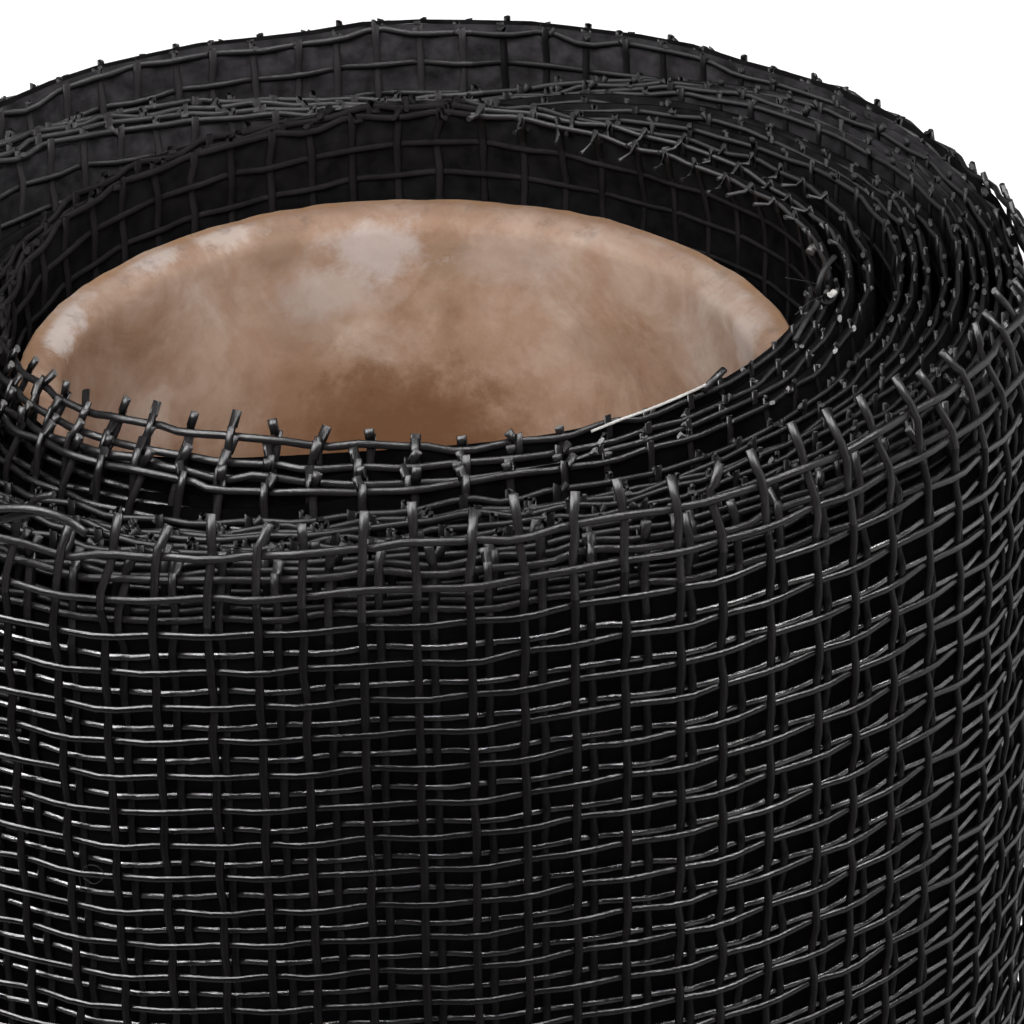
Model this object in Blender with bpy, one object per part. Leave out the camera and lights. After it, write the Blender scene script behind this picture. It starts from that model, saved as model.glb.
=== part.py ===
# A short roll of black fiberglass insect screen on a cardboard core, standing on its end.
# Row frame: origin at the centre of the base, +Z up along the roll, -Y to the front.
# The cloth is one strip, wound clockwise as seen from above, from its inner cut end on the
# core to its outer cut end at the left front. Angles are in degrees round the roll from +X.

import math

import bpy
import bmesh

MM = 0.001

# The roll's main sizes
EDGE_LEVEL = 97.5 * MM  # height of the cut yarn tips at the back of the outer turn
OUTER_RADIUS = 24.1 * MM  # at the outer cut end
TURN_PITCH = 0.48 * MM  # how much each turn of cloth adds to the radius
TURNS_WOUND = 14.4
INNER_END_ANGLE = -10.0
SEAT_GAP = 0.3 * MM  # between the cloth and the core

# The cardboard core
CORE_RADIUS = 15.35 * MM
CORE_WALL = 1.7 * MM
CORE_OFFSET_X = -0.49 * MM  # the core sits a little left of the outer turn's centre
CORE_RECESS = 4.5 * MM  # how far its rim lies below the edge level
CORE_RIM_ROUND = 0.25 * MM

# How the turns group together near the upper end
INNER_GROUP_WIDTH = 1.5 * MM  # three turns that stay close to the core
INNER_GROUP_HINGE = 3.6 * MM  # the inner turns start to lean this far below their tips
SECOND_BAND_RADIUS = 20.4 * MM  # where the middle turns step up to the second band
STEP_WIDTH = 0.3 * MM
OUTER_GROUP_WIDTH = 1.3 * MM  # the last turns, which stand highest
SHOULDER_DROP = 3.5 * MM  # the outer turn leans in above this shoulder
BULGE_DROP = 12.0 * MM  # the loosely wound right side is widest from here down
BULGE_AT_SHOULDER = 0.45
GAP_DEPTH_AT_LEAST = 1.2 * MM
GAP_DEPTH_PER_WIDTH = 5.0  # the gap between the inner turns and the rest is this deep for its width

# Round the roll: heights of the yarn tips against the edge level, and widths, in millimetres
EDGE_COLUMNS = ("angle", "outer", "second_band", "middle", "inner", "inner_lean", "outer_lean", "gap", "bulge")
EDGE_ROWS = (
    (-180, -0.2, -1.5, -3.2, -2.6, 0.8, 0.2, 0.6, 0.0),
    (-150, -0.4, -2.0, -3.0, -1.0, 1.8, 0.6, 1.0, 0.0),
    (-120, 0.5, -1.2, -2.2, -0.4, 2.0, 0.9, 0.8, 0.0),
    (-90, 1.8, 0.2, -0.4, 0.2, 1.2, 0.9, 0.5, 0.1),
    (-60, 2.2, 0.3, -0.6, -0.1, 0.6, 0.9, 1.0, 0.7),
    (-30, 2.4, 0.4, -0.4, 0.1, 0.5, 0.9, 1.6, 1.5),
    (0, 1.4, 0.2, -0.1, 0.2, 0.8, 0.6, 1.4, 1.6),
    (30, 0.4, 0.0, -0.1, 0.0, 2.0, 0.3, 1.1, 1.0),
    (60, 0.0, -0.3, -0.8, -0.8, 2.2, 0.0, 0.9, 0.3),
    (90, 0.0, -1.3, -2.2, -3.0, 0.6, 0.0, 0.5, 0.0),
    (120, 0.0, -1.2, -2.9, -3.8, 0.3, 0.0, 0.4, 0.0),
    (150, 0.0, -1.1, -3.3, -3.8, 0.3, 0.0, 0.4, 0.0),
)

# How finely the round shapes are cut
SECTIONS_ROUND = 96
END_STEP_ANGLE = 0.4  # half the angle over which a cut end's step is made


def edge_value(column, angle):
    """Smooth value of one column of the edge table at an angle, in metres."""
    index = EDGE_COLUMNS.index(column)
    step = 360.0 / len(EDGE_ROWS)
    place = (angle - EDGE_ROWS[0][0]) / step
    low = math.floor(place)
    part = place - low
    before, first, second, after = (EDGE_ROWS[(low + k) % len(EDGE_ROWS)][index] for k in (-1, 0, 1, 2))
    slope_first = (second - before) / 2
    slope_second = (after - first) / 2
    cubic = 2 * first - 2 * second + slope_first + slope_second
    square = -3 * first + 3 * second - 2 * slope_first - slope_second
    return (((cubic * part + square) * part + slope_first) * part + first) * MM


def turn_fraction(angle):
    """How much of a turn the strip has been wound from its inner cut end to this angle."""
    return ((INNER_END_ANGLE - angle) % 360.0) / 360.0


def outer_radius(angle):
    """Radius of the outermost turn near its edge, which steps down behind the outer cut end."""
    part = turn_fraction(angle)
    whole = math.floor(TURNS_WOUND)
    turns = whole + part if part <= TURNS_WOUND - whole else whole - 1 + part
    return OUTER_RADIUS - TURN_PITCH * (TURNS_WOUND - turns)


def core_distance(radius, angle):
    """Distance from the roll's axis to a circle of this radius about the core's own centre."""
    turn = math.radians(angle)
    across = CORE_OFFSET_X * math.sin(turn)
    return CORE_OFFSET_X * math.cos(turn) + math.sqrt(radius * radius - across * across)


def roll_section(angle):
    """Distance and height of each corner of the wound cloth's section, from its inner foot on."""
    inner = core_distance(CORE_RADIUS + SEAT_GAP + TURN_PITCH * turn_fraction(angle), angle)
    outer = outer_radius(angle)
    bulge = edge_value("bulge", angle)
    lean = edge_value("inner_lean", angle)
    gap = edge_value("gap", angle)
    inner_top = EDGE_LEVEL + edge_value("inner", angle)
    middle_top = EDGE_LEVEL + edge_value("middle", angle)
    band_top = EDGE_LEVEL + edge_value("second_band", angle)
    outer_top = EDGE_LEVEL + edge_value("outer", angle)
    hinge = inner_top - INNER_GROUP_HINGE
    group_edge = inner + INNER_GROUP_WIDTH
    gap_floor = min(inner_top, middle_top) - GAP_DEPTH_AT_LEAST - GAP_DEPTH_PER_WIDTH * gap
    leaned_outer = outer - edge_value("outer_lean", angle)
    highest_start = leaned_outer - OUTER_GROUP_WIDTH
    return (
        (inner, 0.0),
        (inner, hinge),
        (inner - 0.4 * lean, inner_top - 0.45 * INNER_GROUP_HINGE),
        (inner - lean, inner_top),
        (group_edge - 0.9 * lean, inner_top),
        (group_edge - 0.4 * lean, inner_top - 0.45 * INNER_GROUP_HINGE),
        (group_edge, min(hinge, gap_floor + GAP_DEPTH_AT_LEAST)),
        (group_edge, gap_floor),
        (group_edge + gap, gap_floor),
        (group_edge + gap, middle_top),
        (SECOND_BAND_RADIUS - STEP_WIDTH, middle_top),
        (SECOND_BAND_RADIUS, band_top),
        (highest_start - STEP_WIDTH, band_top),
        (highest_start, outer_top),
        (leaned_outer, outer_top),
        (outer + BULGE_AT_SHOULDER * bulge, outer_top - SHOULDER_DROP),
        (outer + bulge, outer_top - BULGE_DROP),
        (outer + bulge, 0.0),
    )


def core_section(angle):
    """Distance and height of each corner of the cardboard tube's section."""
    outside = core_distance(CORE_RADIUS, angle)
    bore = core_distance(CORE_RADIUS - CORE_WALL, angle)
    rim = EDGE_LEVEL - CORE_RECESS
    edge = CORE_RIM_ROUND
    return (
        (bore, 0.0),
        (bore, rim - edge),
        (bore + edge, rim),
        (outside - edge, rim),
        (outside, rim - edge),
        (outside, 0.0),
    )


def section_angles(ends):
    """Even angles round the roll, with a close pair at each cut end of the cloth."""
    even = [360.0 * k / SECTIONS_ROUND for k in range(SECTIONS_ROUND)]
    ends = [end % 360.0 for end in ends]
    clear = [a for a in even if all(abs(a - end) > 2 * END_STEP_ANGLE for end in ends)]
    close = [end + side * END_STEP_ANGLE for end in ends for side in (-1, 1)]
    return sorted(clear + close)


def base_centre(angles):
    """Middle of the box round the roll, which becomes the row frame's axis."""
    ring = []
    for angle in angles:
        radius = outer_radius(angle) + edge_value("bulge", angle)
        ring.append((radius * math.cos(math.radians(angle)), radius * math.sin(math.radians(angle))))
    return tuple((min(axis) + max(axis)) / 2 for axis in zip(*ring))


def make_ring(name, section, angles, centre, material):
    """Closed solid that joins one section after the other round the roll."""
    mesh = bpy.data.meshes.new(name)
    solid = bpy.data.objects.new(name, mesh)
    bpy.context.scene.collection.objects.link(solid)
    shape = bmesh.new()
    rings = []
    for angle in angles:
        turn = math.radians(angle)
        rings.append([
            shape.verts.new((r * math.cos(turn) - centre[0], r * math.sin(turn) - centre[1], z))
            for r, z in section(angle)
        ])
    for here, there in zip(rings, rings[1:] + rings[:1]):
        count = len(here)
        for k in range(count):
            after = (k + 1) % count
            shape.faces.new((here[k], here[after], there[after], there[k]))
    bmesh.ops.triangulate(shape, faces=shape.faces[:])
    bmesh.ops.recalc_face_normals(shape, faces=shape.faces[:])
    shape.to_mesh(mesh)
    shape.free()
    mesh.shade_smooth()
    mesh.set_sharp_from_angle(angle=math.radians(35))
    mesh.materials.append(material)
    return solid


def make_material(name, colour, roughness):
    material = bpy.data.materials.new(name)
    material.use_nodes = True
    shader = material.node_tree.nodes["Principled BSDF"]
    shader.inputs["Base Color"].default_value = (*colour, 1.0)
    shader.inputs["Roughness"].default_value = roughness
    shader.inputs["Metallic"].default_value = 0.0
    return material


def main():
    for leftover in list(bpy.data.objects):
        bpy.data.objects.remove(leftover, do_unlink=True)
    angles = section_angles((INNER_END_ANGLE, INNER_END_ANGLE - 360.0 * TURNS_WOUND))
    centre = base_centre(angles)
    screen = make_material("black_screen", (0.018, 0.018, 0.020), 0.42)
    cardboard = make_material("brown_cardboard", (0.36, 0.25, 0.18), 0.88)
    make_ring("screen_roll", roll_section, angles, centre, screen)
    make_ring("core_tube", core_section, angles, centre, cardboard)


main()
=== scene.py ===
# The looks of a short standing roll of black insect screen on its cardboard core
import math
import bmesh
import bpy
import numpy as np
from mathutils import Matrix, Vector


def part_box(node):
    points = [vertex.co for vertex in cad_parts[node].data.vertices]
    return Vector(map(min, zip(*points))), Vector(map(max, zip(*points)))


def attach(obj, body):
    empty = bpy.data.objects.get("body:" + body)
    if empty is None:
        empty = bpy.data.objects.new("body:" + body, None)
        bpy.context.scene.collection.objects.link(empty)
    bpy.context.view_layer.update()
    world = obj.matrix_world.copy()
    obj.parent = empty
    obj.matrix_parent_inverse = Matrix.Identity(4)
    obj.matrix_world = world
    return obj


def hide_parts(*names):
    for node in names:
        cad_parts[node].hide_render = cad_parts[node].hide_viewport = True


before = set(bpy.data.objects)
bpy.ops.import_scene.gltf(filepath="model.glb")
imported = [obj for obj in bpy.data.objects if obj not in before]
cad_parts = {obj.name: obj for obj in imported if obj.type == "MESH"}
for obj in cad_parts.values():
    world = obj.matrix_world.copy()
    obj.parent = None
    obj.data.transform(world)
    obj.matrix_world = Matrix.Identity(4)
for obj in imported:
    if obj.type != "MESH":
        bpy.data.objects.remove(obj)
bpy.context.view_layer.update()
bpy.ops.object.select_all(action="DESELECT")

mm = 0.001
draw = np.random.default_rng(1814)  # every random draw comes from here, in order

# The photo's camera, found from the roll's upper edge, the core's rim and the mesh
camera = {
    "aim": (3.44, 0.0, 86.19),  # mm from the outer turn's centre, the point in the middle of the picture
    "distance": 170.0,
    "elevation": 28.8,
    "roll": -0.8,  # degrees
    "lens": 150.0,
    "sensor": 36.0,
    "clip": (0.01, 20.0),  # m
}

# How the strip is wound, in mm and degrees, clockwise seen from above
winding = {
    "turns": 14.4,
    "innerEndAngle": -10.0,
    "coreRadius": 15.35,
    "coreWall": 1.7,
    "coreOffset": -0.49,  # the core sits left of the outer turn's centre
    "innerRadius": 15.92,  # middle of the cloth's thickness on the core
    "innerPitch": 0.48,
    "innerTurns": 3.4,  # turns that stay close to the core
    "crossingTurns": 0.35,  # then the strip crosses the gap to the rest
    "outerRadius": 23.85,
    "edgeLevel": 97.5,
    "foot": 0.35,
    "secondOut": 0.9,  # share of the outer turn's standing off that the turn below it has
}

# How the turns lean in over the mouth near their tips, and bulge below them, in mm
leaning = {
    "hinges": (4.2, 3.0, 3.0, 3.4, 3.4),  # how far below the tips each group of turns starts to lean
    "middle": 0.1,
    "band": 0.05,
    "secondShare": 0.5,  # of the outer turn's lean
    "firstTurn": 1.08,  # share of the lean that the first inner turn has
    "lossPerTurn": 0.21,
    "keptInFront": 0.13,  # how much smaller that loss is in front
    "frontFrom": 0.1,  # sine of the angle round the roll
    "frontOver": 0.4,
    "curl": 1.7,  # 1 would be a straight lean
    "farCurl": 0.9,  # more of it where the inner turns lean far
    "farLean": 1.1,
    "farFrom": 1.2,
    "stepFrom": 0.25,  # turns over which the inner turns step down, each below the one inside it
    "stepTurns": 2.5,
    "bulgeDepth": 6.0,  # the loosely wound right side widens over about this depth below its tips
}

# Round the roll from -180 degrees by steps of 30, in mm: heights of each group of turns above the edge level,
# leans, gaps and bulges, lengths of the cut tips, and how far below the edge the sheet of packed turns starts
edgeTable = {
    "inner": (-1.2, -0.2, 0.9, 1.3, 1.3, 1.2, 0.9, 0.3, 0.1, 0.4, -0.2, -0.6),
    "innerStep": (0.3, 0.45, 0.5, 0.35, 0.22, 0.2, 0.12, 0.0, 0.0, 0.0, 0.0, 0.1),  # from turn to turn
    "middle": (-2.6, -2.0, -1.0, 0.4, 0.7, 1.1, 1.0, 0.4, -0.2, -1.8, -2.9, -3.0),
    "band": (0.5, -1.0, -0.6, 0.6, 0.8, 1.2, 1.3, 1.0, 0.4, -1.4, -0.3, 0.9),
    "second": (0.9, -1.45, -0.6, 0.6, 0.7, 0.7, 0.6, 1.1, 1.3, 1.4, 1.4, 1.4),
    "outer": (1.1, -0.4, 0.45, 1.8, 2.2, 2.4, 1.6, 1.2, 1.3, 1.35, 1.35, 1.35),
    "innerLean": (0.8, 1.6, 1.6, 1.0, 0.6, 0.5, 0.9, 1.6, 1.5, 0.8, 0.3, 0.3),
    "innerFlop": (0.0, 0.0, 0.0, 0.0, 0.0, 0.0, 0.1, 0.85, 1.0, 0.9, 0.2, 0.0),  # share that tips fall in
    "innerSpread": (0.0, 0.0, 0.0, 0.0, 0.1, 0.4, 0.9, 1.3, 1.4, 0.9, 0.3, 0.0),
    "outerLean": (0.3, 0.8, 1.2, 1.2, 1.1, 1.1, 0.7, 0.3, 0.0, 0.0, 0.0, 0.0),
    "gap": (0.6, 1.0, 0.8, 0.4, 0.7, 1.0, 1.2, 1.5, 1.7, 1.2, 0.6, 0.4),
    "outerOut": (0.5, 1.9, 0.60, 0.05, 0.0, 0.0, 0.0, 0.0, 0.0, 0.0, 0.0, 0.1),
    "bulge": (0.4, 1.2, 0.45, 0.1, 0.7, 1.4, 1.2, 0.6, 0.2, 0.0, 0.0, 0.0),
    "innerTip": (0.4, 0.7, 0.75, 0.6, 0.2, 0.15, 0.2, 1.0, 1.1, 0.7, 0.2, 0.1),
    "middleTip": (0.2, 0.2, 0.15, 0.15, 0.15, 0.25, 0.3, 0.4, 0.3, 0.1, 0.1, 0.1),
    "secondTip": (0.4, 0.8, 0.8, 0.8, 0.8, 0.8, 0.5, 0.25, 0.25, 0.2, 0.15, 0.2),
    "outerTip": (0.4, 1.05, 1.15, 1.15, 1.2, 1.2, 0.75, 0.25, 0.2, 0.15, 0.1, 0.15),
    "innerSheet": (2.0, 2.8, 2.4, 1.5, 1.42, 1.4, 1.42, 1.5, 1.6, 1.5, 1.5, 1.6),
    "middleSheet": (1.2, 2.6, 2.6, 2.6, 2.0, 1.6, 1.4, 1.3, 1.2, 1.0, 0.9, 0.9),
    "bandSheet": (1.8, 2.6, 2.6, 2.6, 2.0, 1.6, 1.4, 1.3, 1.4, 1.7, 1.8, 1.8),
    "outerSheet": (1.2, 3.0, 3.0, 3.0, 3.0, 2.6, 1.3, 1.2, 1.2, 1.2, 1.2, 1.2),
}
# Which group of turns lies at which turn of the strip: inner, middle, band, second and outer
turnStops = (0.0, 3.4, 3.8, 7.0, 7.5, 10.8, 11.3, 13.3, 13.5, 14.4)
turnGroups = (0, 0, 1, 1, 2, 2, 3, 3, 4, 4)

# The cloth, in mm: plain weave, 18 by 14 yarns to the inch
cloth = {
    "weftPitch": 1.81,  # between the yarns that stand upright
    "warpPitch": 1.41,  # between the yarns that go round
    "weftHalfWide": 0.168,
    "warpHalfWide": 0.132,
    "halfThick": 0.115,
    "warpSwell": 0.2,  # share by which the yarns that go round are wider near the cut edge
    "wave": 0.062,  # how far a yarn swings in and out to pass its neighbours
    "looseWave": 0.7,  # the first rows swing further by this share, since little holds them
    "looseRows": 0.8,
    "overReach": 0.22,  # share of a cell over which it stays out
    "firstRow": 1.5,  # how far the uppermost yarn that goes round lies below the edge
    "lastRow": 0.9,  # and the lowest one above the foot, at least
    # depth of the paler, rougher band at the cut edge: wear there, and painted light from above
    "wornAndPaintedLitDepth": 3.2,
    "evenDepth": 35.0,  # down to here every turn keeps its rows at their pitch
    "pastRow": 0.8,  # share of a pitch that upright yarns go past their last row
}

# How the cloth wanders along the strip: size in mm, and lengths of the waves in wefts
wandering = {
    "edge": (0.16, (9, 17, 31, 53, 83)),
    "lean": (0.12, (13, 29, 61, 97)),
    "radius": (0.05, (15, 37, 71)),
}
edgeWaves = (0.13, (3, 5, 8, 13, 21))  # the same for the outer turns together: size, and waves round the roll

# How far yarns and their crossings stray from their even places
straying = {
    "weft": 0.035,  # wefts that a whole upright yarn strays
    "warp": 0.025,  # mm that a whole yarn round the roll strays
    "along": 0.012,  # wefts that one crossing strays
    "down": 0.0175,  # mm
    "atEdge": 2.2,  # how much more a crossing strays at the cut edge
    "edgeRows": 0.7,
}

# The cut tips of the upright yarns
tips = {
    "lengthSpread": 0.22,
    "swing": 0.07,  # wefts
    "swingShares": (1.6, 0.5),  # at the tip and below it
    "lower": 0.55,  # depth of the second point as a share of the sum of its neighbours' depths
    "outward": (0.10, 0.03),  # mm
    "waveShare": 0.4,
    "flopShare": 0.35,  # how much of a tip's fall inward its second point has
    "flopDrop": 0.8,
    "flopSpread": 0.25,
    "width": 1.12,
    "flopThin": 0.5,
    "footGap": 0.15,  # mm above the foot
    "footSpread": 0.1,
}

# The loose ends of the yarns that go round: reach in wefts, and spreads in mm up and down and in and out
rowEnds = {
    "inner": ((0.25, 0.9), 0.15, 0.1),
    "outer": ((0.25, 0.7), 0.12, 0.08),
}

# Where the turns lie pressed together on the right
pressing = {
    "from": 0.1,  # cosine of the angle round the roll
    "over": 0.5,
    "untilTurn": 12.6,
    "turnsOver": 0.3,
    "wave": 0.6,  # shares of the wave, width and thickness that this takes away
    "width": 0.2,
    "thickness": 0.25,
}

# Material slots of the yarns, and where their finishes change: degrees round the roll, turns, mm below the
# edge of the strip. Most slots are lighter and darker copies of the one black yarn, set by side of the roll
# and depth to paint light and shade
yarnSlots = ("blackYarn", "cutEnd", "shadedYarn", "wornAndPaintedLitYarn", "dimEnd", "dullYarn", "glintYarn", "dimYarn",
             "paintedLitYarn")
slotOf = {name: slot for slot, name in enumerate(yarnSlots)}
finishZones = {
    "leftBack": (85.0, -165.0),
    "rightBack": -15.0,
    "innerUntil": 3.6,  # turns
    "middleUntil": 7.3,
    "second": 12.4,
    "outer": 13.4,
    # how far down the inner turns in front are painted lighter
    "paintedLitInside": 7.0,  # mm
    # how far down the uprights at the back left are painted paler
    "paintedLitDepth": 5.0,
    "featherTips": 1.4,
    "featherDepth": 2.2,
    "featherRows": 2.4,  # turns
    "paleCaps": (3.5, 12.3),
    "dimCaps": 13.3,
    "dullFrom": -0.2,  # sine of the angle round the roll
    "dullOver": 0.5,
    "dullUntil": 13.2,
    "dullTurns": 0.2,
}


def smooth(part):
    part = np.clip(part, 0.0, 1.0)
    return part * part * (3.0 - 2.0 * part)


def sineAt(angle):
    return np.sin(np.radians(angle))


def cosineAt(angle):
    return np.cos(np.radians(angle))


def tableAt(column, angle):
    # Smooth value round the roll, angle in degrees
    rows = np.array(edgeTable[column])
    place = (np.asarray(angle) + 180.0) / 30.0
    low = np.floor(place).astype(int)
    part = place - low
    before, first, second, after = (rows[(low + k) % len(rows)] for k in (-1, 0, 1, 2))
    slopeFirst = (second - before) / 2
    slopeSecond = (after - first) / 2
    cubic = 2 * first - 2 * second + slopeFirst + slopeSecond
    square = 3 * second - 3 * first - 2 * slopeFirst - slopeSecond
    return ((cubic * part + square) * part + slopeFirst) * part + first


def byTurn(columns, turns):
    # A value that changes from one group of turns to the next
    place = np.interp(turns, turnStops, turnGroups)
    low = np.minimum(np.floor(place).astype(int), len(columns) - 2)
    values = np.array([np.broadcast_to(c, np.shape(turns)) for c in columns])
    here = np.take_along_axis(values, low[None], 0)[0]
    there = np.take_along_axis(values, low[None] + 1, 0)[0]
    return here + (there - here) * smooth(place - low)


def angleAt(turns):
    return winding["innerEndAngle"] - 360.0 * turns


def pastInner(turns):
    # 0 to the end of the inner turns, growing to 1 at the strip's outer end
    return np.clip((turns - winding["innerTurns"]) / (winding["turns"] - winding["innerTurns"]), 0, 1)


def gapCrossed(turns):
    return smooth((turns - winding["innerTurns"]) / winding["crossingTurns"])


def radiusAt(turns):
    # Distance of the cloth's middle from the roll's axis, below where it leans
    turns = np.asarray(turns, float)
    angle = angleAt(turns)
    held = np.minimum(turns, winding["innerTurns"])
    rest = pastInner(turns)
    innerEdge = winding["innerRadius"] + winding["innerPitch"] * winding["innerTurns"]
    wound = winding["innerRadius"] + winding["innerPitch"] * held
    wound = wound + rest * (winding["outerRadius"] - innerEdge)
    offset = winding["coreOffset"] * (1 - rest)
    across = offset * sineAt(angle)
    crossed = gapCrossed(turns)
    gap = tableAt("gap", angle) * crossed * (1 - rest)
    gap = gap + tableAt("innerSpread", angle) * held / winding["innerTurns"] * (1 - crossed)
    return offset * cosineAt(angle) + np.sqrt(wound**2 - across**2) + gap


gridStops = 6001
turnGrid = np.linspace(0, winding["turns"], gridStops)
gridRadius = radiusAt(turnGrid)
gridSteps = 2 * math.pi * (gridRadius[1:] + gridRadius[:-1]) / 2 * np.diff(turnGrid)
stripGrid = np.concatenate([[0], np.cumsum(gridSteps)])  # mm along the strip at each place of turnGrid
stripLength = stripGrid[-1]
weftCount = int(stripLength / cloth["weftPitch"]) + 1
clothWidth = winding["edgeLevel"] - winding["foot"]
warpCount = int((clothWidth - cloth["firstRow"] - cloth["lastRow"]) / cloth["warpPitch"]) + 1
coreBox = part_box("core_tube")
axisX = (coreBox[0][0] + coreBox[1][0]) / 2 / mm - winding["coreOffset"]
axisY = (coreBox[0][1] + coreBox[1][1]) / 2 / mm
coreMiddle = (axisX + winding["coreOffset"], axisY)
print("strip", round(stripLength), "mm,", weftCount, "wefts,", warpCount, "warps")


def turnsAt(weft):
    return np.interp(np.asarray(weft, float) * cloth["weftPitch"], stripGrid, turnGrid)


def weftAt(turns):
    return int(round(float(np.interp(turns, turnGrid, stripGrid)) / cloth["weftPitch"]))


def waves(place, size, lengths):
    # Uneven but smooth: a few sines with drawn starts
    total = np.zeros(np.shape(place))
    for length in lengths:
        total += np.sin(2 * math.pi * (np.asarray(place) / length + draw.random()))
    return total * size / math.sqrt(len(lengths))


stripPlaces = np.arange(-2, weftCount + 3, 0.25)
edgeUneven, leanUneven, radiusUneven = (waves(stripPlaces, *wandering[k]) for k in ("edge", "lean", "radius"))
circlePlaces = np.arange(-180, 181, 1.0)
edgeCircle = waves(circlePlaces, edgeWaves[0], [360 / count for count in edgeWaves[1]])


def circleAngle(turns):
    # Degrees round the roll, from -180 to 180
    return (angleAt(turns) + 180) % 360 - 180


def outShare(turns):
    # How much of the outer turn's standing off a turn has
    return byTurn([0, 0, 0, winding["secondOut"], 1], turns)


def tipLengths(turns, angle):
    # How far the cut ends stand above the first row
    columns = [tableAt(c, angle) for c in ("innerTip", "middleTip", "middleTip", "secondTip", "outerTip")]
    return byTurn(columns, turns)


def clothPlace(weft, drop, lift):
    # Point and outward direction: weft counts along the strip, drop is mm below its edge and lift mm outward
    weft, drop, lift = np.broadcast_arrays(np.asarray(weft, float), drop, lift)
    turns = turnsAt(weft)
    angle = angleAt(turns)
    heights = [tableAt(c, angle) for c in ("inner", "middle", "band", "second", "outer")]
    uneven = np.interp(weft, stripPlaces, edgeUneven)
    together = np.interp(circleAngle(turns), circlePlaces, edgeCircle)  # the outer turns wander together
    tip = winding["edgeLevel"] + byTurn(heights, turns)
    tip = tip + byTurn([uneven, uneven, uneven, together, together], turns)
    stepDown = tableAt("innerStep", angle) * np.clip(turns - leaning["stepFrom"], 0, leaning["stepTurns"])
    tip = tip - byTurn([stepDown, 0, 0, 0, 0], turns)
    inFront = smooth((leaning["frontFrom"] - sineAt(angle)) / leaning["frontOver"])
    loss = leaning["lossPerTurn"] - leaning["keptInFront"] * inFront
    innerLean = tableAt("innerLean", angle) * (leaning["firstTurn"] - loss * turns)
    outerLean = tableAt("outerLean", angle)
    secondLean = leaning["secondShare"] * outerLean
    lean = byTurn([innerLean, leaning["middle"], leaning["band"], secondLean, outerLean], turns)
    lean = lean + np.interp(weft, stripPlaces, leanUneven)
    hinge = byTurn(leaning["hinges"], turns)
    share = np.clip(1 - drop / hinge, 0, None)
    looseness = tableAt("bulge", angle) * pastInner(turns)
    fade = np.exp(-np.clip(drop, 0, None) / leaning["bulgeDepth"])
    farCurl = leaning["farCurl"] * smooth(innerLean / leaning["farLean"] - leaning["farFrom"])
    curl = leaning["curl"] + byTurn([farCurl, 0, 0, 0, 0], turns)
    radius = radiusAt(turns) + np.interp(weft, stripPlaces, radiusUneven) - lean * share**curl
    radius = radius + looseness * (1 - fade) + outShare(turns) * tableAt("outerOut", angle)
    slope = curl * lean * share ** (curl - 1) / hinge + looseness * fade / leaning["bulgeDepth"]
    settle = smooth((drop - cloth["evenDepth"]) / (clothWidth - cloth["evenDepth"]))
    height = tip - drop + (winding["foot"] - tip + clothWidth) * settle
    turn = np.radians(angle)
    tilt = 1 / np.sqrt(1 + slope**2)
    out = np.stack([np.cos(turn) * tilt, np.sin(turn) * tilt, slope * tilt], -1)
    point = np.stack([radius * np.cos(turn) + axisX, radius * np.sin(turn) + axisY, height], -1)
    return (point + out * lift[..., None]) * mm, out


def dullAt(weft):
    # The inner faces at the back are dull, the rest is glossy
    turns = turnsAt(weft)
    back = smooth((sineAt(angleAt(turns)) - finishZones["dullFrom"]) / finishZones["dullOver"])
    return back * (1 - smooth((turns - finishZones["dullUntil"]) / finishZones["dullTurns"]))


def sideAt(weft):
    # Turn of the strip there, and whether it lies at the back left, at the back right or in front
    turns = turnsAt(weft)
    angle = circleAngle(turns)
    leftBack = (angle > finishZones["leftBack"][0]) | (angle < finishZones["leftBack"][1])
    rightBack = (angle > finishZones["rightBack"]) & ~leftBack
    return turns, leftBack, rightBack, ~leftBack & ~rightBack


def pressedAt(weft):
    # 1 where the inner turns are pressed together on the right, fading to 0 elsewhere
    turns = turnsAt(weft)
    right = smooth((cosineAt(angleAt(turns)) - pressing["from"]) / pressing["over"])
    return right * smooth((pressing["untilTurn"] - turns) / pressing["turnsOver"])


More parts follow.
